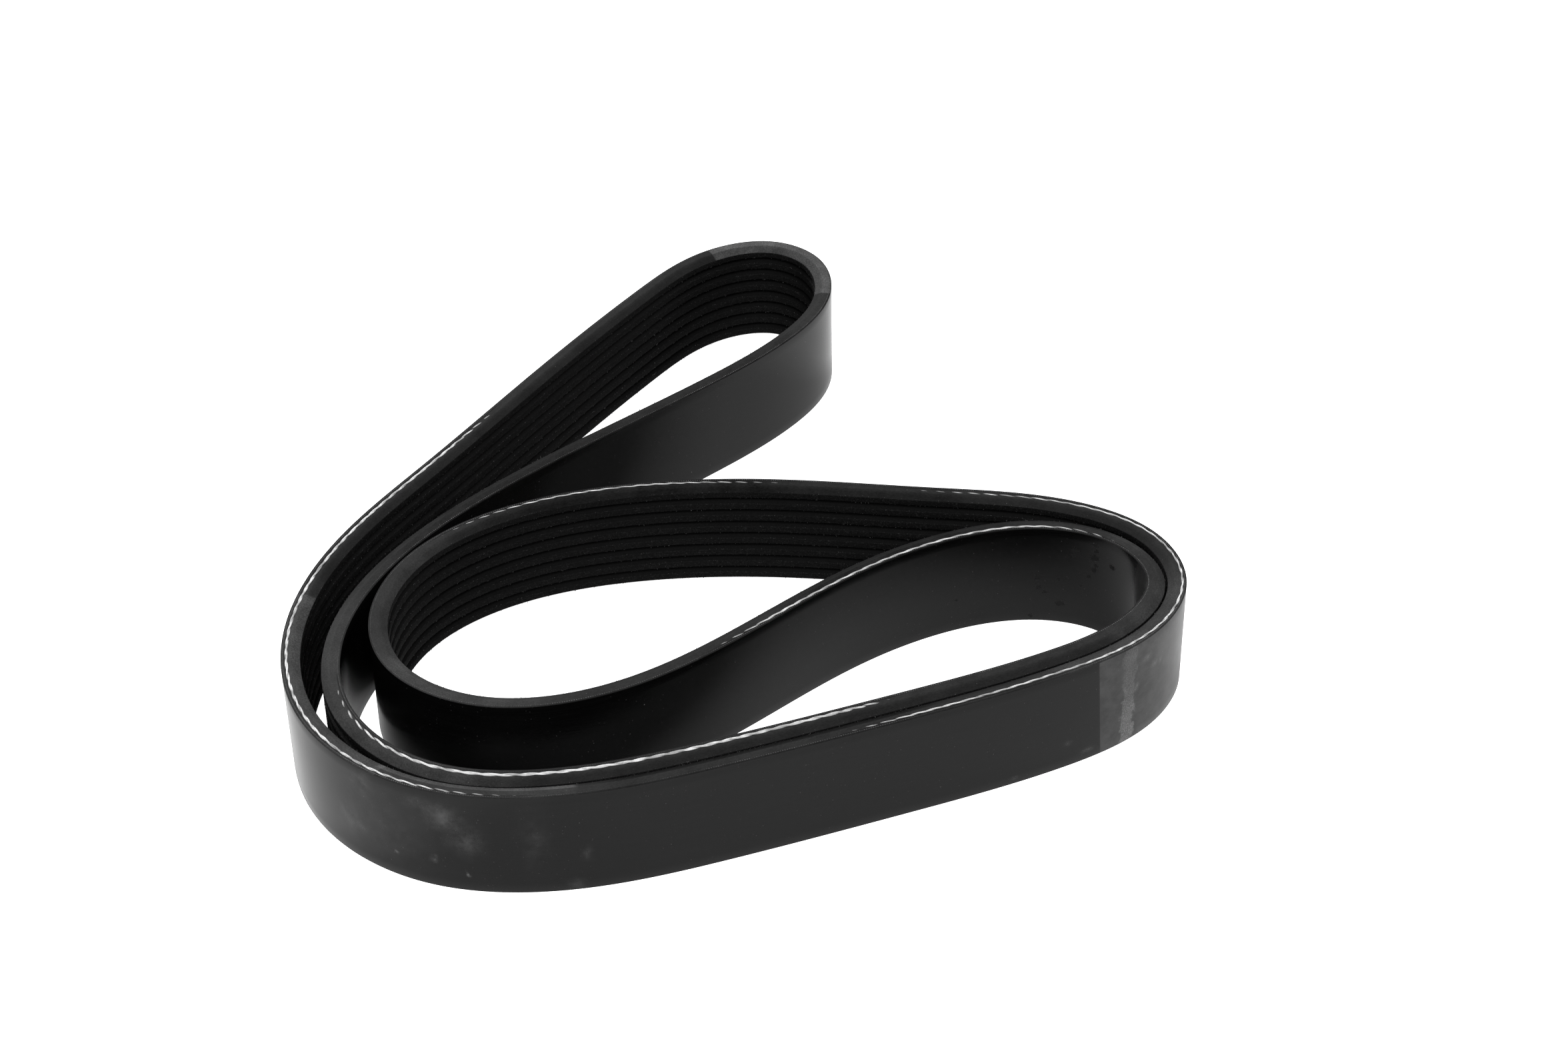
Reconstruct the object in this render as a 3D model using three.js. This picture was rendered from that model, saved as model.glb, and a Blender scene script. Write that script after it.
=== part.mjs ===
// A ribbed serpentine belt lying coiled on one of its cut edges.
// Millimetres, +Z up, origin on the ground under the middle of the coil.

import * as THREE from 'three';

// The belt's section: a smooth back and lengthwise ribs cut into the drive side.
const ribCount = 8;
const ribPitch = 3.56;
const beltThickness = 4.45;
const grooveDepth = 2;
const grooveAngle = 40;
const grooveFloor = 0.4;

// The room between neighbouring strands of the coil.
const ribClearance = 0.6;
const backClearance = 0.5;

// How finely the bends are followed.
const largestTurn = THREE.MathUtils.degToRad(10);
const longestStep = 24;

// The smooth back's line in plan, anticlockwise with the ribs on the inner side:
// the places that the outer strand passes, from the tail's tip to the back run.
const outerStops = [
  [10, 112],
  [-9, 108],
  [-26.5, 90],
  [-52, 53],
  [-79, 11],
  [-97, -18.5],
  [-106, -52],
  [-98, -86],
  [-72, -108],
  [-37, -111.5],
  [-3.5, -103],
  [39, -88],
  [76, -73],
  [98, -57.5],
  [106, -39.5],
  [100.5, -21],
  [82, -8],
  [47.5, -1.5],
  [8, 3],
  [-27, 2],
  [-56, -6],
];

// The inner loop's way round its left end and up towards the right.
const innerLoopStops = [
  [-81, -67],
  [-61, -80.5],
  [-32, -78.5],
  [-2, -60.5],
  [25, -38],
  [51, -23],
];

// The last strand's way back up to the tail's tip.
const tailStops = [
  [-36, 20],
  [-6, 45],
  [14, 65],
  [24.5, 86],
  [20.5, 105],
];

// Where the nested strand runs inside the outer one, ribs to ribs: the number
// of the outer stop that it lies beside, and how far it is spread from there.
const nestedBeside = [
  { stop: 16, spread: 2.9 },
  { stop: 15, spread: 1.2 },
  { stop: 14, spread: 0 },
  { stop: 13, spread: 0 },
  { stop: 12, spread: 0 },
  { stop: 11, spread: 0 },
  { stop: 10, spread: 0 },
  { stop: 9, spread: 0 },
  { stop: 8, spread: 0 },
  { stop: 7, spread: 2.4 },
  { stop: 6, spread: 5.4 },
  { stop: 5, spread: 8.6 },
  { stop: 4, spread: 13.2 },
];

// Where the inner loop's back lies against the back of the nested strand.
const loopBeside = [
  { stop: 5, spread: 0 },
  { stop: 6, spread: 4.2 },
];

// The place at a distance from an outer stop, towards the inside of the coil.
function besideOuter(stop, distance) {
  const before = stopPoint(outerStops[stop - 1]);
  const along = stopPoint(outerStops[stop + 1]).sub(before).normalize();
  return stopPoint(outerStops[stop]).addScaledVector(new THREE.Vector2(-along.y, along.x), distance);
}

function nestedDistance(stop) {
  const { spread } = nestedBeside.find((beside) => beside.stop === stop);
  return 2 * beltThickness + ribClearance + spread;
}

function nestedPoint({ stop }) {
  return besideOuter(stop, nestedDistance(stop));
}

function loopPoint({ stop, spread }) {
  return besideOuter(stop, nestedDistance(stop) + backClearance + spread);
}

function stopPoint(stop) {
  return new THREE.Vector2(...stop);
}

// Every place that the belt's back passes, once round.
function routePoints() {
  return [
    ...outerStops.map(stopPoint),
    ...loopBeside.map(loopPoint),
    ...innerLoopStops.map(stopPoint),
    ...nestedBeside.map(nestedPoint),
    ...tailStops.map(stopPoint),
  ];
}

// Directions at the points of a closed line that keep its bending smooth,
// found by settling each one between its neighbours.
function smoothDirections(points) {
  const count = points.length;
  const span = points.map((point, i) => point.distanceTo(points[(i + 1) % count]));
  const slope = points.map((point, i) => {
    return points[(i + 1) % count].clone().sub(point).divideScalar(span[i]);
  });
  const directions = slope.map((value) => value.clone());
  for (let sweep = 0; sweep < 60; sweep += 1) {
    for (let i = 0; i < count; i += 1) {
      const before = (i + count - 1) % count;
      const after = (i + 1) % count;
      directions[i]
        .set(0, 0)
        .addScaledVector(slope[before], 3 * span[i])
        .addScaledVector(slope[i], 3 * span[before])
        .addScaledVector(directions[before], -span[i])
        .addScaledVector(directions[after], -span[before])
        .divideScalar(2 * (span[before] + span[i]));
    }
  }
  return directions;
}

// The back's line as one smooth curve from each point to the next.
function routeCurves(points) {
  const directions = smoothDirections(points);
  return points.map((start, i) => {
    const next = (i + 1) % points.length;
    const end = points[next];
    const reach = start.distanceTo(end) / 3;
    return new THREE.CubicBezierCurve(
      start,
      start.clone().addScaledVector(directions[i], reach),
      end.clone().addScaledVector(directions[next], -reach),
      end,
    );
  });
}

// Stations along the belt, closer together where it bends.
function routeStations(curves) {
  return curves.flatMap((curve) => {
    const turn = Math.abs(turnOf(curve));
    const steps = Math.ceil(Math.max(turn / largestTurn, curve.getLength() / longestStep));
    return Array.from({ length: steps }, (unused, i) => {
      const along = curve.getTangent(i / steps);
      return { point: curve.getPoint(i / steps), ribSide: new THREE.Vector2(-along.y, along.x) };
    });
  });
}

function turnOf(curve) {
  const first = curve.getTangent(0);
  const last = curve.getTangent(1);
  return Math.atan2(first.cross(last), first.dot(last));
}

// One turn of the section's outline: x is the depth from the smooth back,
// y the height above the ground. The belt is cut through the middle of a groove.
function sectionOutline() {
  const height = ribCount * ribPitch;
  const floorDepth = beltThickness - grooveDepth;
  const flank = grooveDepth * Math.tan(THREE.MathUtils.degToRad(grooveAngle / 2));
  const outline = [new THREE.Vector2(0, height), new THREE.Vector2(0, 0), new THREE.Vector2(floorDepth, 0)];
  for (let rib = 0; rib < ribCount; rib += 1) {
    const foot = rib * ribPitch + grooveFloor / 2;
    const nextFoot = (rib + 1) * ribPitch - grooveFloor / 2;
    outline.push(new THREE.Vector2(floorDepth, foot));
    outline.push(new THREE.Vector2(beltThickness, foot + flank));
    outline.push(new THREE.Vector2(beltThickness, nextFoot - flank));
    outline.push(new THREE.Vector2(floorDepth, nextFoot));
  }
  outline.push(new THREE.Vector2(floorDepth, height));
  return outline;
}

// The section carried once round the closed route.
function sweptBelt(outline, stations) {
  const corners = outline.length;
  const positions = stations.flatMap(({ point, ribSide }) => {
    return outline.flatMap((corner) => {
      const place = point.clone().addScaledVector(ribSide, corner.x);
      return [place.x, place.y, corner.y];
    });
  });
  const faces = [];
  for (let i = 0; i < stations.length; i += 1) {
    const here = i * corners;
    const there = ((i + 1) % stations.length) * corners;
    for (let j = 0; j < corners; j += 1) {
      const next = (j + 1) % corners;
      faces.push(here + j, here + next, there + next);
      faces.push(here + j, there + next, there + j);
    }
  }
  const geometry = new THREE.BufferGeometry();
  geometry.setAttribute('position', new THREE.Float32BufferAttribute(positions, 3));
  geometry.setIndex(faces);
  geometry.computeVertexNormals();
  return geometry;
}

const blackRubber = new THREE.MeshStandardMaterial({ color: 0x1d1d1e, roughness: 0.8, metalness: 0 });

const stations = routeStations(routeCurves(routePoints()));
const belt = new THREE.Mesh(sweptBelt(sectionOutline(), stations), blackRubber);
belt.name = 'serpentine_belt';
belt.geometry.computeBoundingBox();
const middle = belt.geometry.boundingBox.getCenter(new THREE.Vector3());
belt.position.set(-middle.x, -middle.y, 0);

const part = new THREE.Group();
part.add(belt);

export default part;
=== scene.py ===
"""A coiled serpentine belt, dressed for its render.

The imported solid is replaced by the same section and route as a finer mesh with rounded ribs. To it
are added the cord that is bare in the upper cut edge, the ends of the backing's threads, short fibres
on the ribs' crests, the rubber's materials, light and a camera.
"""
import math

import bpy
import numpy as np
from mathutils import Matrix, Vector

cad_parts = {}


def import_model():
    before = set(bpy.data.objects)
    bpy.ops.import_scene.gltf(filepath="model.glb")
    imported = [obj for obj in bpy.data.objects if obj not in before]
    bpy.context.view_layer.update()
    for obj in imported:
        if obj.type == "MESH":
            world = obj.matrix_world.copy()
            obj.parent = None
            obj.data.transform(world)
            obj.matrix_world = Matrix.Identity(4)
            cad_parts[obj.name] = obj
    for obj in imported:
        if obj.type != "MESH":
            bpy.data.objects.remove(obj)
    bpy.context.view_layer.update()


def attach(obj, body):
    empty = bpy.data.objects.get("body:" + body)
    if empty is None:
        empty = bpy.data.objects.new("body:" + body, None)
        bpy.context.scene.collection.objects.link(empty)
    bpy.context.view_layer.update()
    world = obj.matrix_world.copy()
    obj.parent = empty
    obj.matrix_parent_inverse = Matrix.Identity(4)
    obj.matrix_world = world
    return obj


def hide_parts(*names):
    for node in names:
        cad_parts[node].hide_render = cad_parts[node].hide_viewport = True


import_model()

MM = 0.001

# The belt's section, in metres.
RIB_COUNT = 8
RIB_PITCH = 3.56 * MM
THICKNESS = 4.45 * MM
GROOVE_DEPTH = 2 * MM
GROOVE_ANGLE = math.radians(40)
GROOVE_FLOOR = 0.4 * MM
WIDTH = RIB_COUNT * RIB_PITCH
CREST_ROUND = 0.22 * MM
ROOT_ROUND = 0.12 * MM
BACK_ROUND = 0.15 * MM

# The most of a side that a round may take, and how many points split the section's long sides.
LARGEST_ROUND_SHARE = 0.45
BACK_SPLITS = 10
CUT_SPLITS = 3

# The room between neighbouring strands, in millimetres.
RIB_CLEARANCE = 0.6
BACK_CLEARANCE = 0.5

# The route in plan, in millimetres, as the part has it.
OUTER_STOPS = [
    (10, 112), (-9, 108), (-26.5, 90), (-52, 53), (-79, 11), (-97, -18.5), (-106, -52),
    (-98, -86), (-72, -108), (-37, -111.5), (-3.5, -103), (39, -88), (76, -73), (98, -57.5),
    (106, -39.5), (100.5, -21), (82, -8), (47.5, -1.5), (8, 3), (-27, 2), (-56, -6),
]
INNER_LOOP_STOPS = [(-81, -67), (-61, -80.5), (-32, -78.5), (-2, -60.5), (25, -38), (51, -23)]
TAIL_STOPS = [(-36, 20), (-6, 45), (14, 65), (24.5, 86), (20.5, 105)]
NESTED_SPREADS = {
    16: 2.9, 15: 1.2, 14: 0, 13: 0, 12: 0, 11: 0, 10: 0, 9: 0, 8: 0, 7: 2.4, 6: 5.4, 5: 8.6, 4: 13.2,
}
LOOP_SPREADS = {5: 0, 6: 4.2}

# How finely the route is followed.
SMOOTHING_SWEEPS = 60
STEPS_TO_A_STOP = 80
STATIONS = 880


def beside_outer(stop, distance):
    """The place at a distance from an outer stop, towards the inside of the coil."""
    before, here, after = (np.array(OUTER_STOPS[stop + step], float) for step in (-1, 0, 1))
    along = (after - before) / np.linalg.norm(after - before)
    return here + distance * np.array([-along[1], along[0]])


def nested_distance(stop):
    """How far the nested strand's back lies inside the outer one's."""
    return 2 * THICKNESS / MM + RIB_CLEARANCE + NESTED_SPREADS[stop]


def route_points():
    """Every place that the belt's back passes, once round."""
    loop = [
        beside_outer(stop, nested_distance(stop) + BACK_CLEARANCE + spread)
        for stop, spread in LOOP_SPREADS.items()
    ]
    nested = [beside_outer(stop, nested_distance(stop)) for stop in NESTED_SPREADS]
    return np.array([*OUTER_STOPS, *loop, *INNER_LOOP_STOPS, *nested, *TAIL_STOPS], float)


def smooth_directions(points):
    """Directions at the points of a closed line that keep its bending smooth."""
    count = len(points)
    step = np.roll(points, -1, axis=0) - points
    span = np.linalg.norm(step, axis=1)
    slope = step / span[:, None]
    directions = slope.copy()
    for _ in range(SMOOTHING_SWEEPS):
        for i in range(count):
            before, after = (i - 1) % count, (i + 1) % count
            pull = 3 * (span[i] * slope[before] + span[before] * slope[i])
            pull -= span[i] * directions[before] + span[before] * directions[after]
            directions[i] = pull / (2 * (span[before] + span[i]))
    return directions


def fine_line():
    """Closely spaced places along the smooth back's line, with the directions there."""
    points = route_points()
    directions = smooth_directions(points)
    following = np.roll(points, -1, axis=0)
    turning = np.roll(directions, -1, axis=0)
    reach = np.linalg.norm(following - points, axis=1)[:, None] / 3
    first, second = points + directions * reach, following - turning * reach
    places, headings = [], []
    for t in np.linspace(0, 1, STEPS_TO_A_STOP, endpoint=False):
        rest = 1 - t
        places.append(
            rest ** 3 * points + 3 * rest ** 2 * t * first + 3 * rest * t ** 2 * second + t ** 3 * following
        )
        headings.append(
            rest ** 2 * (first - points) + 2 * rest * t * (second - first) + t ** 2 * (following - second)
        )
    places = np.stack(places, axis=1).reshape(-1, 2) * MM
    headings = np.stack(headings, axis=1).reshape(-1, 2)
    headings /= np.linalg.norm(headings, axis=1)[:, None]
    rib_sides = np.stack([-headings[:, 1], headings[:, 0]], axis=1)
    outline = np.vstack([places, places + rib_sides * THICKNESS])
    places -= (outline.min(axis=0) + outline.max(axis=0)) / 2
    return places, rib_sides


class Route:
    """The belt's line, read by the distance along it."""

    def __init__(self):
        places, rib_sides = fine_line()
        self.places = np.vstack([places, places[:1]])
        self.rib_sides = np.vstack([rib_sides, rib_sides[:1]])
        spans = np.linalg.norm(np.diff(self.places, axis=0), axis=1)
        self.travel = np.concatenate([[0], np.cumsum(spans)])
        self.length = self.travel[-1]

    def read(self, distance, values):
        """Values of the line's points, read at distances along it."""
        return np.stack([np.interp(distance, self.travel, values[:, k]) for k in (0, 1)], axis=-1)

    def at(self, distance, depth, height):
        """Points at distances along the belt, depths from its smooth back and heights."""
        distance = np.mod(distance, self.length)
        side = self.read(distance, self.rib_sides)
        plan = self.read(distance, self.places) + side * np.asarray(depth)[..., None]
        heights = np.broadcast_to(height, plan.shape[:-1])[..., None]
        return np.concatenate([plan, heights], axis=-1)


def rounded(corner, before, after, radius, count):
    """Points of a small arc that takes off a corner."""
    corner, before, after = (np.array(p, float) for p in (corner, before, after))
    to_before, to_after = np.linalg.norm(before - corner), np.linalg.norm(after - corner)
    back, on = (before - corner) / to_before, (after - corner) / to_after
    half = math.acos(np.clip(back @ on, -1, 1)) / 2
    reach = min(
        radius / math.tan(half), LARGEST_ROUND_SHARE * to_before, LARGEST_ROUND_SHARE * to_after,
    )
    start, end = corner + back * reach, corner + on * reach
    steps = np.linspace(0, 1, count)[:, None]
    return (1 - steps) ** 2 * start + 2 * (1 - steps) * steps * corner + steps ** 2 * end


BACK, CUT, RIBS = 0, 1, 2


def section_corners():
    """The section's corners: place, round, points in the round and the surface that follows."""
    floor = THICKNESS - GROOVE_DEPTH
    flank = GROOVE_DEPTH * math.tan(GROOVE_ANGLE / 2)
    corners = [
        ((0, WIDTH), BACK_ROUND, 3, BACK),
        ((0, 0), BACK_ROUND, 3, CUT),
        ((floor, 0), ROOT_ROUND / 2, 2, CUT),
    ]
    for rib in range(RIB_COUNT):
        foot = rib * RIB_PITCH + GROOVE_FLOOR / 2
        next_foot = (rib + 1) * RIB_PITCH - GROOVE_FLOOR / 2
        last = rib == RIB_COUNT - 1
        if rib > 0:
            corners.append(((floor, foot), ROOT_ROUND, 2, RIBS))
        corners.append(((THICKNESS, foot + flank), CREST_ROUND, 3, RIBS))
        corners.append(((THICKNESS, next_foot - flank), CREST_ROUND, 3, CUT if last else RIBS))
        if not last:
            corners.append(((floor, next_foot), ROOT_ROUND, 2, RIBS))
    corners.append(((floor, WIDTH), ROOT_ROUND / 2, 2, CUT))
    splits = {(0, WIDTH): BACK_SPLITS, (0, 0): CUT_SPLITS, (floor, WIDTH): CUT_SPLITS}
    return corners, splits


def section():
    """The outline of the belt's section as depths and heights, and each point's next surface."""
    corners, splits = section_corners()
    points, surfaces = [], []
    for i, (corner, radius, count, surface) in enumerate(corners):
        following, beyond = (corners[(i + step) % len(corners)] for step in (1, 2))
        arc = rounded(corner, corners[i - 1][0], following[0], radius, count)
        next_arc = rounded(following[0], corner, beyond[0], following[1], following[2])
        points.extend(arc)
        surfaces.extend([surface] * count)
        parts = splits.get(corner, 0)
        for step in range(1, parts + 1):
            points.append(arc[-1] + (next_arc[0] - arc[-1]) * step / (parts + 1))
            surfaces.append(surface)
    # The upper rim's round belongs to the cut edge.
    surfaces[0] = surfaces[1] = CUT
    return np.array(points), surfaces


def mesh_object(name, verts, faces, materials, face_materials=None, smooth_angle=None):
    """A new piece from vertices and faces, which rides on the belt's body."""
    mesh = bpy.data.meshes.new(name)
    if isinstance(faces, np.ndarray):
        faces = faces.tolist()
    mesh.from_pydata(np.asarray(verts).tolist(), [], faces)
    for material in materials:
        mesh.materials.append(material)
    if face_materials is not None:
        mesh.polygons.foreach_set("material_index", face_materials)
    mesh.polygons.foreach_set("use_smooth", [True] * len(mesh.polygons))
    if smooth_angle:
        mesh.set_sharp_from_angle(angle=smooth_angle)
    mesh.update()
    piece = bpy.data.objects.new(name, mesh)
    bpy.context.scene.collection.objects.link(piece)
    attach(piece, "root")
    return piece


def add_places(piece, domain, places):
    """Keeps the distance along the belt, the height and the depth on a piece, for its material."""
    attribute = piece.data.attributes.new("belt_place", "FLOAT_VECTOR", domain)
    attribute.data.foreach_set("vector", places.reshape(-1))


# Stretches of the cut edge with painted light and shade, lighter or darker, in metres along the belt:
# start, end, softness, how much lighter the cut is, and how much lighter the outermost rib's flank beside
# it is.
PAINTED_LIGHT_STRETCHES = [
    (0.0, 0.0193, 0.0004, 0.053, 0.032),
    (1.3755, 1.5, 0.0006, 0.043, 0.026),
    (1.345, 1.3755, 0.010, 0.003, 0.002),
    (0.197, 0.270, 0.0006, 0.016, 0.022),
    (0.197, 0.225, 0.010, 0.008, 0.006),
    (0.270, 0.3160, 0.0020, 0.007, 0.034),
    (0.330, 0.395, 0.012, -0.002, -0.010),
    (0.440, 0.475, 0.020, 0.016, 0.016),
    (0.555, 0.600, 0.010, -0.003, -0.003),
    (0.610, 0.660, 0.020, -0.011, -0.006),
    (0.690, 0.745, 0.010, 0.002, 0.008),
    (0.745, 0.770, 0.020, 0.014, 0.014),
    (0.860, 0.900, 0.020, -0.010, -0.006),
    (0.935, 0.970, 0.006, 0.005, 0.012),
    (1.130, 1.190, 0.020, 0.010, 0.014),
    (1.225, 1.345, 0.015, -0.006, -0.006),
    (1.240, 1.285, 0.015, -0.003, -0.003),
]

# The exposed cord along the upper cut edge: where its first and last dashes are and where it is bare
# without a break, in metres along the belt, how much it stands out in the middle, and how wide it is.
CORD_STRETCHES = [
    (0.1115, 0.135, 0.262, 0.3045, 1.0, 0.95),
    (0.380, 0.401, 0.512, 0.567, 0.9, 0.78),
    (0.594, 0.625, 0.650, 0.686, 0.5, 0.82),
    (0.826, 0.846, 0.912, 0.936, 0.85, 0.85),
    (1.029, 1.042, 1.128, 1.172, 1.2, 1.2),
]

# The cord's way to and fro: metres along the belt, and its depth from the smooth back in millimetres.
CORD_WANDER = [
    (0.11, 1.55), (0.18, 1.5), (0.21, 1.25), (0.24, 1.45), (0.27, 1.2), (0.305, 1.0), (0.38, 1.15),
    (0.43, 1.55), (0.465, 1.0), (0.49, 1.05), (0.52, 1.5), (0.545, 1.7), (0.61, 1.5), (0.63, 1.15),
    (0.83, 1.1), (0.86, 0.9), (0.93, 0.95), (1.03, 1.4), (1.10, 1.5), (1.12, 1.65), (1.15, 1.35),
]

# The cord's twisted plies, and how high their middle lies over the cut where they are hidden, where
# they show in dashes and where they are bare.
CORD_PLIES = 2
PLY_PITCH = 4.1 * MM
PLY_HALF_WIDTH = 0.235 * MM
PLY_HALF_HEIGHT = 0.20 * MM
PLY_SWING = 0.17 * MM
PLY_LIFT = 0.09 * MM
PLY_SIDES = 8
PLY_STEP = 0.4 * MM
HIDDEN_RISE = -0.335 * MM
DASHED_RISE = -0.21 * MM
BARE_RISE = -0.08 * MM

# How suddenly the plies sink at a stretch's ends, and how much more they lift and fall there.
SINKING = 1.4
EXTRA_LIFT = 0.5


class Nodes:
    """Short ways to build a material's nodes."""

    # The sockets of a Map Range node's lowest and highest vector results.
    TO_LEAST_VECTOR, TO_MOST_VECTOR = 9, 10

    # A noise's usual range.
    NOISE_LOW, NOISE_HIGH = 0.3, 0.7

    # The share of a speck of dust that has its full strength.
    SPECK_CORE = 0.6

    # How wide a ragged outline's waves are for how far they reach.
    RAGGED_WAVES = 0.6

    def __init__(self, name):
        self.material = bpy.data.materials.new(name)
        self.material.use_nodes = True
        self.tree = self.material.node_tree
        self.shader = self.tree.nodes["Principled BSDF"]
        place = self.tree.nodes.new("ShaderNodeAttribute")
        place.attribute_name = "belt_place"
        self.place = place.outputs["Vector"]
        self.object = self.tree.nodes.new("ShaderNodeTexCoord").outputs["Object"]
        parts = self.tree.nodes.new("ShaderNodeSeparateXYZ")
        self.link(self.place, parts.inputs[0])
        self.along, self.height, self.depth = parts.outputs

    def link(self, source, target):
        self.tree.links.new(source, target)

    def feed(self, socket, value):
        if isinstance(value, bpy.types.NodeSocket):
            self.link(value, socket)
        else:
            socket.default_value = value

    def maths(self, operation, first, second):
        node = self.tree.nodes.new("ShaderNodeMath")
        node.operation = operation
        self.feed(node.inputs[0], first)
        self.feed(node.inputs[1], second)
        return node.outputs[0]

    def add(self, total, *others):
        for other in others:
            total = self.maths("ADD", total, other)
        return total

    def multiply(self, product, *others):
        for other in others:
            product = self.maths("MULTIPLY", product, other)
        return product

    def noise(self, scale, detail, roughness=0.5, vector=None, stretch=None):
        vector = vector or self.object
        if stretch:
            mapping = self.tree.nodes.new("ShaderNodeMapping")
            mapping.inputs["Scale"].default_value = stretch
            self.link(vector, mapping.inputs["Vector"])
            vector = mapping.outputs[0]
        node = self.tree.nodes.new("ShaderNodeTexNoise")
        self.link(vector, node.inputs["Vector"])
        node.inputs["Scale"].default_value = scale
        node.inputs["Detail"].default_value = detail
        node.inputs["Roughness"].default_value = roughness
        return node.outputs["Fac"]

    def spread(self, value, low, high, to_low=0.0, to_high=1.0):
        """A value's range from low to high, eased to another range."""
        node = self.tree.nodes.new("ShaderNodeMapRange")
        node.interpolation_type = "SMOOTHSTEP"
        self.feed(node.inputs["Value"], value)
        limits = (("From Min", low), ("From Max", high), ("To Min", to_low), ("To Max", to_high))
        for name, number in limits:
            node.inputs[name].default_value = number
        return node.outputs["Result"]

    def vary(self, noise, to_low, to_high):
        """A noise's usual range, eased to another one."""
        return self.spread(noise, self.NOISE_LOW, self.NOISE_HIGH, to_low, to_high)

    def band(self, value, start, end, soft):
        """One between start and end, fading over a soft margin outside them."""
        return self.multiply(
            self.spread(value, start - soft, start), self.spread(value, end, end + soft, 1.0, 0.0),
        )

    def dust(self, scale, size, share, lightness):
        """Sparse light specks, one to a cell, in a share of the cells."""
        cells = self.tree.nodes.new("ShaderNodeTexVoronoi")
        self.link(self.object, cells.inputs["Vector"])
        cells.inputs["Scale"].default_value = scale
        chosen = self.tree.nodes.new("ShaderNodeSeparateColor")
        self.link(cells.outputs["Color"], chosen.inputs[0])
        speck = self.spread(cells.outputs["Distance"], size * self.SPECK_CORE, size, 1.0, 0.0)
        present = self.maths("LESS_THAN", chosen.outputs[0], share)
        return self.multiply(speck, present, self.multiply(chosen.outputs[1], lightness))

    def blotches(self, marks, ragged):
        """Soft marks at given distances along the belt and heights, with ragged outlines."""
        wobble = self.tree.nodes.new("ShaderNodeTexNoise")
        self.link(self.object, wobble.inputs["Vector"])
        wobble.inputs["Scale"].default_value = self.RAGGED_WAVES / ragged
        wobble.inputs["Detail"].default_value = 4
        shift = self.tree.nodes.new("ShaderNodeMapRange")
        shift.data_type = "FLOAT_VECTOR"
        self.link(wobble.outputs["Color"], shift.inputs["Vector"])
        shift.inputs[self.TO_LEAST_VECTOR].default_value = (-ragged, -ragged, 0)
        shift.inputs[self.TO_MOST_VECTOR].default_value = (ragged, ragged, 0)
        warped = self.tree.nodes.new("ShaderNodeVectorMath")
        self.link(self.place, warped.inputs[0])
        self.link(shift.outputs["Vector"], warped.inputs[1])
        total = 0.0
        for along, height, reach_along, reach_height, strength in marks:
            mark = self.tree.nodes.new("ShaderNodeMapping")
            mark.vector_type = "TEXTURE"
            self.link(warped.outputs[0], mark.inputs["Vector"])
            mark.inputs["Location"].default_value = (along * MM, height * MM, 0)
            mark.inputs["Scale"].default_value = (reach_along * MM, reach_height * MM, 1)
            falloff = self.tree.nodes.new("ShaderNodeTexGradient")
            falloff.gradient_type = "QUADRATIC_SPHERE"
            self.link(mark.outputs[0], falloff.inputs["Vector"])
            total = self.add(self.multiply(falloff.outputs["Fac"], strength), total)
        return total

    def grey(self, value):
        node = self.tree.nodes.new("ShaderNodeCombineColor")
        for socket in node.inputs[:3]:
            self.feed(socket, value)
        return node.outputs[0]

    def bump(self, height, strength, distance):
        node = self.tree.nodes.new("ShaderNodeBump")
        self.link(height, node.inputs["Height"])
        node.inputs["Strength"].default_value = strength
        node.inputs["Distance"].default_value = distance
        self.link(node.outputs[0], self.shader.inputs["Normal"])

    def finish(self, colour, roughness, specular):
        """The material, once its grey, roughness and even specular level are set."""
        self.link(self.grey(colour), self.shader.inputs["Base Color"])
        self.feed(self.shader.inputs["Roughness"], roughness)
        self.shader.inputs["Specular IOR Level"].default_value = specular
        return self.material


# Marks on the smooth back: millimetres along the belt, height, their reach both ways, strength.
CHALKY_CLOUDS = [
    (287.0, 21.5, 7.0, 6.5, 0.028), (291.5, 15.0, 7.5, 8.0, 0.019), (281.5, 24.0, 7.0, 4.0, 0.016),
    (265.0, 24.0, 8.0, 6.0, 0.020), (261.5, 10.5, 9.0, 8.0, 0.022), (307.0, 16.0, 6.0, 18.0, 0.007),
    (272.0, 14.0, 22.0, 20.0, 0.007),
    (318.5, 10.5, 2.5, 3.0, 0.020), (315.5, 1.5, 4.0, 3.5, 0.022), (274.5, 7.0, 1.2, 1.2, 0.040),
    (284.0, 8.5, 1.4, 1.4, 0.040), (291.6, 5.2, 0.9, 1.2, 0.080),
]
GRAINY_PATCHES = [
    (457.5, 22.5, 2.6, 2.2, 0.050), (460.5, 19.0, 2.2, 1.6, 0.045), (462.6, 18.5, 1.0, 1.8, 0.045),
    (454.4, 15.5, 1.2, 2.5, 0.050), (440.5, 2.8, 3.5, 1.4, 0.035), (435.0, 7.0, 2.0, 1.6, 0.020),
    (421.0, 1.6, 1.6, 1.2, 0.030),
]
DULL_SPOTS = [
    (925.8, 22.3, 1.9, 2.2, 1.0), (930.5, 22.0, 2.2, 1.8, 1.0), (931.0, 24.2, 1.2, 1.2, 1.0),
    (930.4, 25.8, 1.9, 0.9, 0.8), (930.6, 18.3, 1.5, 1.5, 1.0), (931.0, 19.8, 1.0, 1.0, 1.0),
    (929.3, 16.0, 1.1, 1.1, 1.0), (935.5, 21.2, 1.4, 1.4, 1.0), (916.7, 13.3, 1.7, 1.4, 1.0),
    (921.8, 13.2, 1.1, 1.0, 0.8), (917.2, 10.3, 1.3, 1.1, 1.0), (918.7, 9.0, 1.3, 0.9, 1.0),
    (922.4, 5.8, 2.2, 2.0, 1.0), (915.5, 1.4, 1.3, 1.1, 1.0), (896.5, 9.2, 0.8, 0.8, 0.7),
    (927.4, 12.4, 0.9, 0.9, 0.6),
]
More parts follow.
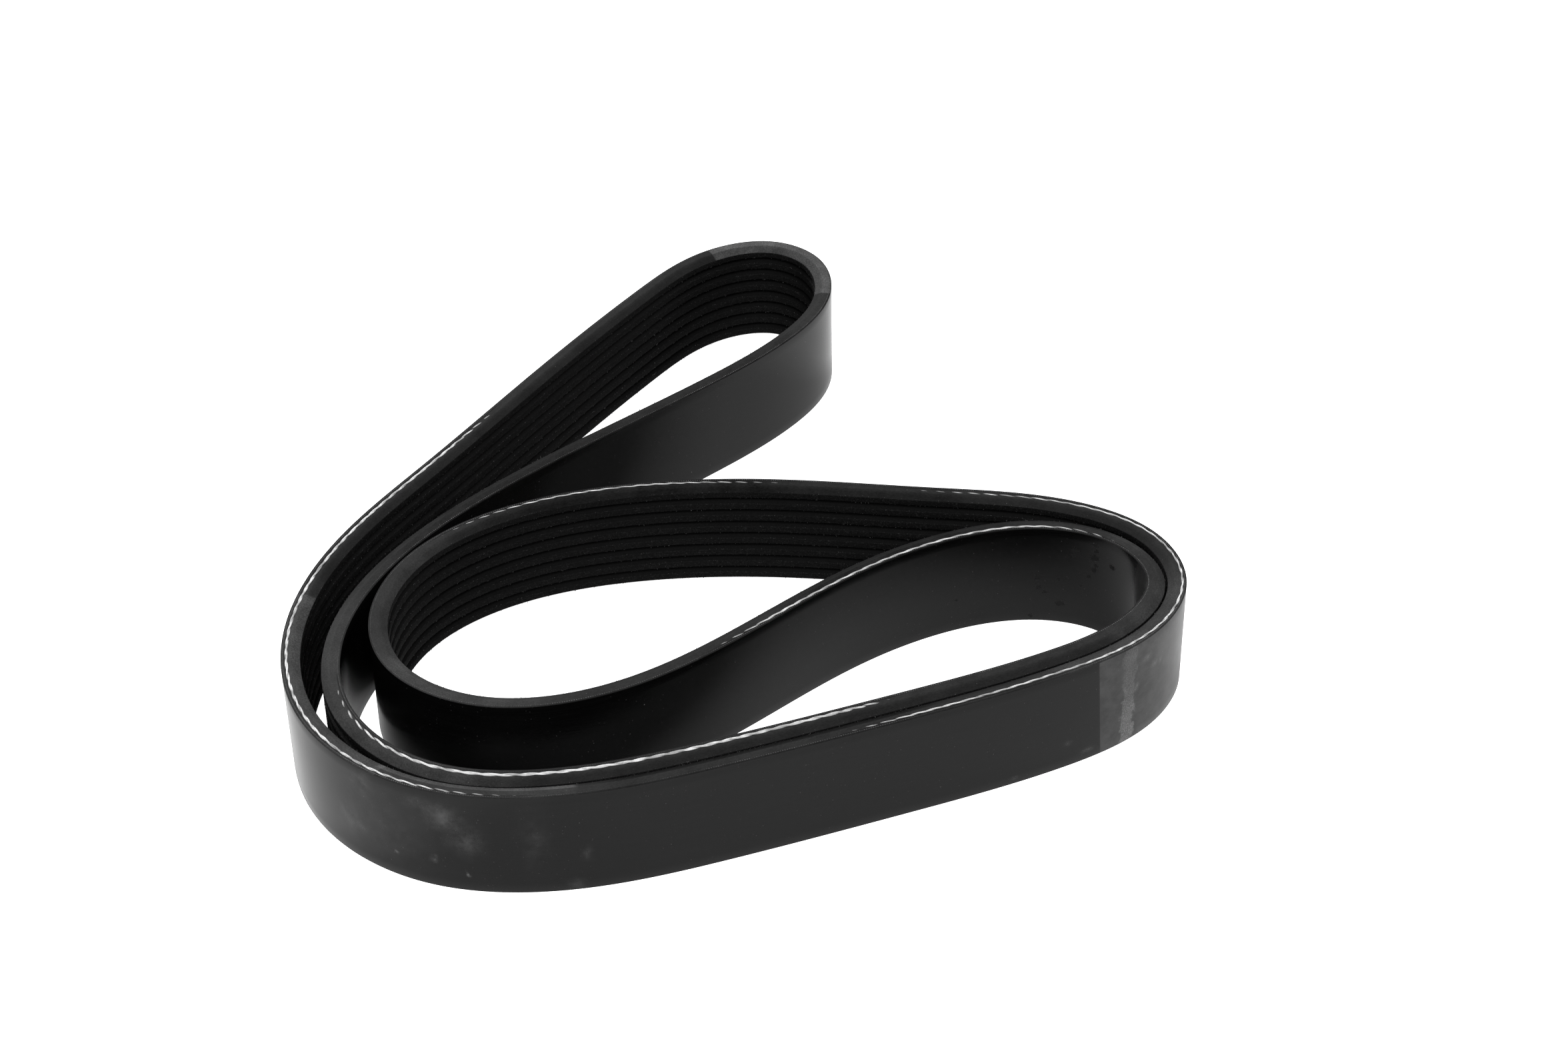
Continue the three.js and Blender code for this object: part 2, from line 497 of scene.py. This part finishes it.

# Bands across the smooth back, in millimetres along the belt: a leaning band of painted light, the gritty
# streak in it, and a dull one. The lightness is added to the rubber's own grey.
PAINTED_LIGHT_BAND_FROM, PAINTED_LIGHT_BAND_TO = 442.6, 480.0
PAINTED_LIGHT_BAND_SLANT = 0.065
PAINTED_LIGHT_BAND_LIGHTNESS = 0.030
STREAK_FROM, STREAK_TO = 450.3, 453.2
STREAK_LIGHTNESS = 0.075
DULL_FROM, DULL_TO = 945.5, 952.0

# Dust: cells to the metre, a speck's size in cells, the share of cells that have one, lightness.
BACK_DUST = [(620, 0.09, 0.5, 0.045), (230, 0.035, 0.35, 0.10), (1100, 0.16, 0.3, 0.020)]
CUT_DUST = [(520, 0.05, 0.25, 0.10), (900, 0.10, 0.4, 0.035)]

# Where the woven backing's thread ends are dimmer, in metres along the belt.
DIMMED_THREADS = [(0.320, 0.435), (1.040, 1.150)]


def back_rubber():
    """The smooth back: glossy black with faint streaks, a band of painted light, chalky clouds, a gritty
    streak, dull spots, dust.
    """
    n = Nodes("back_rubber")
    streaks = n.noise(1.0, 2, 0.6, vector=n.place, stretch=(60, 2500, 2500))
    grain = n.noise(3500, 2)
    gritty = n.spread(n.noise(3600, 3, 0.8), 0.45, 0.60, 0.4, 1.6)

    # Painted light: a leaning band across the back is made lighter in a mottled tone, and a little rougher.
    slanted = n.add(n.along, n.multiply(n.maths("SUBTRACT", n.height, WIDTH), PAINTED_LIGHT_BAND_SLANT))
    painted_light_band = n.band(slanted, PAINTED_LIGHT_BAND_FROM * MM, PAINTED_LIGHT_BAND_TO * MM, 0.5 * MM)
    mottle = n.vary(n.noise(330, 5, 0.6), 0.7, 1.3)
    ragged_along = n.add(n.along, n.vary(n.noise(420, 4), -0.7 * MM, 0.7 * MM))
    streak = n.band(ragged_along, STREAK_FROM * MM, STREAK_TO * MM, 1.0 * MM)
    streak = n.multiply(streak, n.spread(n.height, 3.0 * MM, 24.0 * MM, 1.0, 0.35))
    uneven = n.vary(n.noise(260, 6, 0.65), 0.1, 1.9)
    clouds = n.multiply(n.blotches(CHALKY_CLOUDS, 2.4 * MM), uneven)
    patches = n.add(n.blotches(GRAINY_PATCHES, 0.5 * MM), n.multiply(streak, STREAK_LIGHTNESS))
    patches = n.multiply(patches, gritty)

    colour = n.vary(streaks, 0.001, 0.002)
    colour = n.add(colour, n.multiply(mottle, PAINTED_LIGHT_BAND_LIGHTNESS, painted_light_band), n.add(clouds, patches))
    for specks in BACK_DUST:
        colour = n.add(colour, n.dust(*specks))

    speckled = n.spread(n.noise(2200, 3, 0.7), 0.35, 0.65, -0.16, 0.16)
    dull = n.spread(n.add(n.blotches(DULL_SPOTS, 0.5 * MM), speckled), 0.14, 0.36)
    dull_end = n.multiply(n.band(n.along, DULL_FROM * MM, DULL_TO * MM, 2.5 * MM), 0.6)
    worn = n.maths("MAXIMUM", n.maths("MAXIMUM", dull, dull_end), n.multiply(painted_light_band, 0.2))
    roughness = n.add(n.vary(n.noise(40, 3), 0.15, 0.22), n.multiply(worn, 0.6))

    height = n.add(n.multiply(grain, 0.7), n.multiply(streaks, 0.3))
    height = n.add(height, n.multiply(gritty, 2.0, n.add(dull, streak)))
    n.bump(height, 0.08, 0.1 * MM)
    return n.finish(colour, roughness, 0.27)


def cut_rubber():
    """The cut edges: grey, grainy, darker at the rim and by the cord; painted shade by the ribs, painted
    light and shade in stretches.
    """
    n = Nodes("cut_rubber")
    grain = n.noise(1.0, 3, 0.6, vector=n.place, stretch=(1500, 3500, 3500))
    cloudy = n.noise(150, 4, 0.6)
    grit = n.spread(n.noise(2600, 3, 0.7), 0.35, 0.65, 0.6, 1.4)

    colour = n.add(n.vary(grain, 0.015, 0.021), n.vary(cloudy, -0.003, 0.003))
    # Painted shade: the grey darkens from the cut face onto the outermost rib's flank, which slopes away
    # from the light.
    colour = n.multiply(colour, n.spread(n.depth, 2.2 * MM, 3.4 * MM, 1.0, 0.68))
    # Painted light and shade: in the listed stretches the cut and the outermost flank are made lighter or
    # darker to stand for how the light falls there.
    for start, end, soft, cut_lift, flank_lift in PAINTED_LIGHT_STRETCHES:
        lift = n.spread(n.depth, 2.3 * MM, 2.7 * MM, cut_lift, flank_lift)
        if cut_lift > 0:
            lift = n.multiply(n.vary(cloudy, 0.75, 1.25), grit, lift)
        colour = n.add(colour, n.multiply(n.band(n.along, start, end, soft), lift))
    colour = n.multiply(colour, n.spread(n.depth, 0.25 * MM, 0.45 * MM, 0.65, 1.0))

    torn = 0.0
    for first, _, _, last, _, _ in CORD_STRETCHES:
        torn = n.add(torn, n.band(n.along, first, last, 5 * MM))
    beside_cord = n.band(n.depth, 0.70 * MM, 0.90 * MM, 0.08 * MM)
    colour = n.multiply(colour, n.maths("SUBTRACT", 1.0, n.multiply(torn, beside_cord, 0.5)))
    for specks in CUT_DUST:
        colour = n.add(colour, n.dust(*specks))

    n.bump(grain, 0.12, 0.2 * MM)
    return n.finish(colour, n.vary(cloudy, 0.7, 0.85), 0.03)


def rib_rubber():
    """The ribs: deep black and matt, flecks on the ground crests, painted shade darkening towards the
    groove roots.
    """
    n = Nodes("rib_rubber")
    tooth = n.noise(2300, 3, 0.65)
    # Painted shade: the ribs' grey darkens down the flanks towards the groove roots and falls to near black
    # in the roots.
    flank = n.spread(n.depth, 2.9 * MM, 4.3 * MM, 0.0014, 0.0022)
    root = n.spread(n.depth, 2.85 * MM, 3.15 * MM, 0.08, 1.0)
    crest = n.spread(n.depth, THICKNESS - 0.15 * MM, THICKNESS - 0.02 * MM)
    flecks = n.multiply(n.spread(n.noise(3600, 2), 0.50, 0.80, 0.0, 0.014), crest)
    n.bump(tooth, 0.5, 0.15 * MM)
    return n.finish(n.add(n.multiply(flank, root, n.vary(tooth, 0.6, 1.4)), flecks), 0.75, 0.06)


def cord_yarn():
    """The cord's white yarn: fine filaments along each ply, soiled in places and dark where it sinks."""
    n = Nodes("cord_yarn")
    filaments = n.noise(1.0, 2, 0.5, vector=n.place, stretch=(500, 9000, 9000))
    soiled = n.spread(n.noise(260, 3), 0.35, 0.6, 0.45, 1.0)
    sunken = n.spread(n.height, WIDTH, WIDTH + 0.10 * MM, 0.42, 1.0)
    n.bump(filaments, 0.4, 0.1 * MM)
    return n.finish(n.multiply(soiled, sunken, n.vary(filaments, 0.34, 0.72)), 0.6, 0.3)


def thread_ends():
    """The cut ends of the backing's threads: grey, dimmer in two stretches."""
    n = Nodes("thread_ends")
    # The threads are made darker in these two stretches along the belt.
    dimmed = n.maths("MAXIMUM", *(n.band(n.along, start, end, 0.01) for start, end in DIMMED_THREADS))
    seen = n.spread(n.noise(30, 2), 0.35, 0.65, 0.35, 1.0)
    seen = n.maths("SUBTRACT", seen, n.multiply(dimmed, 0.4))
    return n.finish(n.multiply(n.vary(n.noise(900, 2), 0.03, 0.12), seen), 0.8, 0.2)


def fibre_material():
    """Short dusty fibres."""
    n = Nodes("fibre")
    return n.finish(n.vary(n.noise(700, 1), 0.006, 0.07), 0.8, 0.1)


route = Route()


def circle(sides):
    """Angles evenly round a circle."""
    return np.arange(sides) * 2 * math.pi / sides


def fine_belt():
    """The whole belt as one fine mesh: the section carried once round the route."""
    outline, surfaces = section()
    corners = len(outline)
    distances = np.arange(STATIONS) * route.length / STATIONS
    rings = [route.at(distances, depth, height) for depth, height in outline]
    verts = np.stack(rings, axis=1).reshape(-1, 3)
    here = np.arange(STATIONS)[:, None] * corners
    there = (np.arange(STATIONS)[:, None] + 1) % STATIONS * corners
    this, following = np.arange(corners)[None], (np.arange(corners)[None] + 1) % corners
    faces = np.stack([here + this, here + following, there + following, there + this], axis=-1)
    piece = mesh_object(
        "belt_body", verts, faces.reshape(-1, 4), [back_rubber(), cut_rubber(), rib_rubber()],
        np.tile(surfaces, STATIONS), math.radians(40),
    )

    start, end = distances[:, None], distances[:, None] + route.length / STATIONS
    depth, height = outline[:, 0][None], outline[:, 1][None]
    next_depth, next_height = np.roll(depth, -1), np.roll(height, -1)
    corner_places = [
        (start, height, depth), (start, next_height, next_depth),
        (end, next_height, next_depth), (end, height, depth),
    ]
    corner_places = [
        np.stack([np.broadcast_to(value, (STATIONS, corners)) for value in place], axis=-1)
        for place in corner_places
    ]
    add_places(piece, "CORNER", np.stack(corner_places, axis=2))
    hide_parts("serpentine_belt")


def tube_mesh(rings):
    """Vertices and faces of closed tubes, each given as rings of points."""
    verts, faces = [], []
    for tube in rings:
        count, sides = tube.shape[:2]
        base = len(verts)
        verts.extend(tube.reshape(-1, 3).tolist())
        i, j = np.meshgrid(np.arange(count - 1), np.arange(sides), indexing="ij")
        here, beside = i * sides + j, i * sides + (j + 1) % sides
        quads = np.stack([here, beside, beside + sides, here + sides], axis=-1).reshape(-1, 4)
        faces.extend((quads + base).tolist())
        faces.append([base + k for k in reversed(range(sides))])
        faces.append([base + (count - 1) * sides + k for k in range(sides)])
    return verts, faces


def cord_plies():
    """Twisted plies, shaved flat, that come out of the cut edge dash by dash and sink back into it."""
    ring = circle(PLY_SIDES)
    flat_topped = np.sign(np.cos(ring)) * np.sqrt(np.abs(np.cos(ring)))
    wander_along, wander_depth = zip(*CORD_WANDER)
    tubes, places = [], []
    for first, bare_from, bare_to, last, stand, width in CORD_STRETCHES:
        distance = np.arange(first, last, PLY_STEP)
        bare = BARE_RISE * stand + DASHED_RISE * (1 - stand)
        sunk = np.interp(distance, [first, bare_from, bare_to, last], [1, 0, 0, 1]) ** SINKING
        rise = bare + (HIDDEN_RISE - bare) * sunk
        middle = np.interp(distance, wander_along, wander_depth) * MM
        for ply in range(CORD_PLIES):
            twist = 2 * math.pi * (distance / (CORD_PLIES * PLY_PITCH) + ply / CORD_PLIES)
            ply_depth = middle - PLY_SWING * width * np.sin(twist)
            ply_height = WIDTH + rise + PLY_LIFT * (1 + EXTRA_LIFT * sunk) * np.cos(twist)
            depth = ply_depth[:, None] + PLY_HALF_WIDTH * width * flat_topped[None]
            height = ply_height[:, None] + PLY_HALF_HEIGHT * np.sin(ring)[None]
            along = np.repeat(distance[:, None], PLY_SIDES, axis=1)
            tubes.append(route.at(along, depth, height))
            places.append(np.stack([along, height, depth], axis=-1).reshape(-1, 3))
    verts, faces = tube_mesh(tubes)
    piece = mesh_object("cord_plies", verts, faces, [cord_yarn()])
    add_places(piece, "POINT", np.vstack(places))


# The woven backing's cut threads, in a row near the back: how far apart and how deep they are, their
# size, and how far their foot, brim and crown stand over the cut.
THREAD_PITCH = 0.555 * MM
THREAD_DEPTH = 0.50 * MM
THREAD_HALF_LENGTH = 0.14 * MM
THREAD_HALF_WIDTH = 0.12 * MM
THREAD_SIDES = 6
THREAD_FOOT = -0.05 * MM
THREAD_BRIM = 0.01 * MM
THREAD_CROWN = 0.03 * MM


def backing_threads():
    """Small domes where the backing's threads end in the upper cut edge."""
    count = round(route.length / THREAD_PITCH)
    middle = np.arange(count) * route.length / count
    ring = circle(THREAD_SIDES)
    along = middle[:, None] + THREAD_HALF_LENGTH * np.cos(ring)[None]
    depth = THREAD_DEPTH + THREAD_HALF_WIDTH * np.sin(ring)[None] + 0 * along
    foot = route.at(along, depth, WIDTH + THREAD_FOOT)
    brim = route.at(along, depth, WIDTH + THREAD_BRIM)
    crown = route.at(middle[:, None], np.full((count, 1), THREAD_DEPTH), WIDTH + THREAD_CROWN)
    verts = np.concatenate([foot, brim, crown], axis=1).reshape(-1, 3)
    size = 2 * THREAD_SIDES + 1
    faces = []
    for base in range(0, count * size, size):
        upper, top = base + THREAD_SIDES, base + 2 * THREAD_SIDES
        faces.append([base + k for k in reversed(range(THREAD_SIDES))])
        for k in range(THREAD_SIDES):
            beside = (k + 1) % THREAD_SIDES
            faces.append([base + k, base + beside, upper + beside, upper + k])
            faces.append([upper + k, upper + beside, top])
    piece = mesh_object("backing_threads", verts, faces, [thread_ends()])
    places = np.stack([middle, 0 * middle, 0 * middle], axis=-1)
    add_places(piece, "POINT", np.repeat(places, size, axis=0))


# Short fibres that stand out of the ribs' ground crests: how many, the share of them along the crests'
# edges, where those start across half a crest, and how deep under the crest both kinds are rooted.
FIBRES = 30000
FIBRE_SEED = 7
EDGE_SHARE = 0.65
EDGE_STARTS = (0.88, 1.02)
EDGE_ROOT = 0.08 * MM
CREST_ROOT = 0.02 * MM

# Their length follows a gamma distribution. The edge's fibres are thicker and point outwards.
FIBRE_LENGTH_SHAPE = 3.0
FIBRE_LENGTH_SCALE = 0.07 * MM
FIBRE_LENGTHS = (0.08 * MM, 0.7 * MM)
FIBRE_HALF_THICKNESSES = (0.03, 0.06)
EDGE_THICKENING = 1.8
OUTWARD_SCATTER = 0.8
TILT_SCATTER = 0.35
LARGEST_REACH = 0.12 * MM
EDGE_MARGIN = 0.2 * MM


def crest_fibres():
    """Thin needles strewn over the crests, more of them along the crests' edges."""
    chance = np.random.default_rng(FIBRE_SEED)
    crest_half = (RIB_PITCH - GROOVE_FLOOR) / 2 - GROOVE_DEPTH * math.tan(GROOVE_ANGLE / 2)
    along = chance.uniform(0, route.length, FIBRES)
    rib = chance.integers(0, RIB_COUNT, FIBRES)
    across = chance.uniform(-1, 1, FIBRES)
    edge = chance.random(FIBRES) < EDGE_SHARE
    across = np.where(edge, np.sign(across) * chance.uniform(*EDGE_STARTS, FIBRES), across)
    height = (rib + 0.5) * RIB_PITCH + across * crest_half
    depth = THICKNESS - np.where(edge, EDGE_ROOT, CREST_ROOT)
    length = chance.gamma(FIBRE_LENGTH_SHAPE, FIBRE_LENGTH_SCALE, FIBRES).clip(*FIBRE_LENGTHS)
    outwards = np.sign(across) * math.pi / 2 + chance.normal(0, OUTWARD_SCATTER, FIBRES)
    heading = np.where(edge, outwards, chance.uniform(0, 2 * math.pi, FIBRES))
    tilt = np.abs(chance.normal(0, TILT_SCATTER, FIBRES))
    thick = np.where(edge, EDGE_THICKENING, 1.0) * chance.uniform(*FIBRE_HALF_THICKNESSES, FIBRES) * MM

    reach = np.minimum(length * np.sin(tilt), LARGEST_REACH)
    flat = length * np.cos(tilt)
    end_height = (height + flat * np.sin(heading)).clip(EDGE_MARGIN, WIDTH - EDGE_MARGIN)
    start = route.at(along, depth, height)
    end = route.at(along + flat * np.cos(heading), depth + reach, end_height)
    axis = (end - start) / np.linalg.norm(end - start, axis=1)[:, None]
    side = np.cross(axis, np.array([0.31, 0.47, 0.83]))
    side /= np.linalg.norm(side, axis=1)[:, None]
    other = np.cross(axis, side)
    waist = [
        (start + end) / 2 + thick[:, None] * (math.cos(turn) * side + math.sin(turn) * other)
        for turn in circle(3)
    ]
    verts = np.stack([start, *waist, end], axis=1)
    pattern = np.array([[0, 2, 1], [0, 3, 2], [0, 1, 3], [4, 1, 2], [4, 2, 3], [4, 3, 1]])
    faces = np.arange(FIBRES)[:, None, None] * verts.shape[1] + pattern[None]
    mesh_object(
        "crest_fibres", verts.reshape(-1, 3), faces.reshape(-1, 3), [fibre_material()],
    )


fine_belt()
cord_plies()
backing_threads()
crest_fibres()

# The studio. The floor and the world look white, and the world gives little light of its own.
FLOOR_SIZE = 8
FLOOR_GREY = 0.75
FLOOR_ROUGHNESS = 0.9
AMBIENT_LIGHT = 0.05

# The softboxes: name, place in metres and power in watts. They face the middle of the coil.
SOFTBOX_SIZE = (0.9, 0.9)
SOFTBOX_TARGET = (0, 0, 0)
SOFTBOXES = [
    ("front_high", (0.0, -1.34, 1.49), 54),
    ("behind_left", (-0.93, 1.6, 0.75), 54),
    ("behind_right", (1.6, 0.93, 0.75), 18),
]

# The camera, as the photograph's perspective shows it.
CAMERA_PLACE = (0.0110, -0.6247, 0.4960)
CAMERA_PITCH = math.radians(37.48)
CAMERA_ROLL = math.radians(-0.95)
CAMERA_LENS = 72.72
SENSOR_WIDTH = 36
CLIPPING = (0.01, 50)


def stage():
    """A plain white floor under the belt."""
    bpy.ops.mesh.primitive_plane_add(size=FLOOR_SIZE)
    floor = bpy.context.object
    floor.name = "floor"
    material = bpy.data.materials.new("floor_white")
    material.use_nodes = True
    shader = material.node_tree.nodes["Principled BSDF"]
    shader.inputs["Base Color"].default_value = (FLOOR_GREY, FLOOR_GREY, FLOOR_GREY, 1)
    shader.inputs["Roughness"].default_value = FLOOR_ROUGHNESS
    shader.inputs["Specular IOR Level"].default_value = 0.0
    shader.inputs["Emission Color"].default_value = (1, 1, 1, 1)
    rays = material.node_tree.nodes.new("ShaderNodeLightPath")
    material.node_tree.links.new(rays.outputs["Is Camera Ray"], shader.inputs["Emission Strength"])
    floor.data.materials.append(material)


def world():
    """A studio that looks white, with little light of its own."""
    scene = bpy.context.scene
    scene.world = bpy.data.worlds.new("studio")
    scene.world.use_nodes = True
    tree = scene.world.node_tree
    background = tree.nodes["Background"]
    background.inputs["Color"].default_value = (1, 1, 1, 1)
    rays = tree.nodes.new("ShaderNodeLightPath")
    shown = tree.nodes.new("ShaderNodeMapRange")
    tree.links.new(rays.outputs["Is Camera Ray"], shown.inputs["Value"])
    shown.inputs["To Min"].default_value = AMBIENT_LIGHT
    tree.links.new(shown.outputs["Result"], background.inputs["Strength"])


def softbox(name, place, power):
    """A soft rectangular light that faces the coil."""
    light = bpy.data.lights.new(name, "AREA")
    light.shape, light.size, light.size_y = "RECTANGLE", *SOFTBOX_SIZE
    light.energy = power
    lamp = bpy.data.objects.new(name, light)
    bpy.context.scene.collection.objects.link(lamp)
    lamp.location = place
    lamp.rotation_mode = "QUATERNION"
    lamp.rotation_quaternion = (Vector(SOFTBOX_TARGET) - Vector(place)).to_track_quat("-Z", "Y")


def camera():
    """The camera at the photograph's place and angle."""
    data = bpy.data.cameras.new("camera")
    data.lens, data.sensor_width = CAMERA_LENS, SENSOR_WIDTH
    data.clip_start, data.clip_end = CLIPPING
    shooter = bpy.data.objects.new("camera", data)
    bpy.context.scene.collection.objects.link(shooter)
    turn = Matrix.Rotation(math.pi / 2 - CAMERA_PITCH, 4, "X") @ Matrix.Rotation(CAMERA_ROLL, 4, "Z")
    shooter.matrix_world = Matrix.Translation(CAMERA_PLACE) @ turn
    bpy.context.scene.camera = shooter


stage()
world()
for box in SOFTBOXES:
    softbox(*box)
camera()
bpy.context.scene.view_settings.view_transform = "Standard"
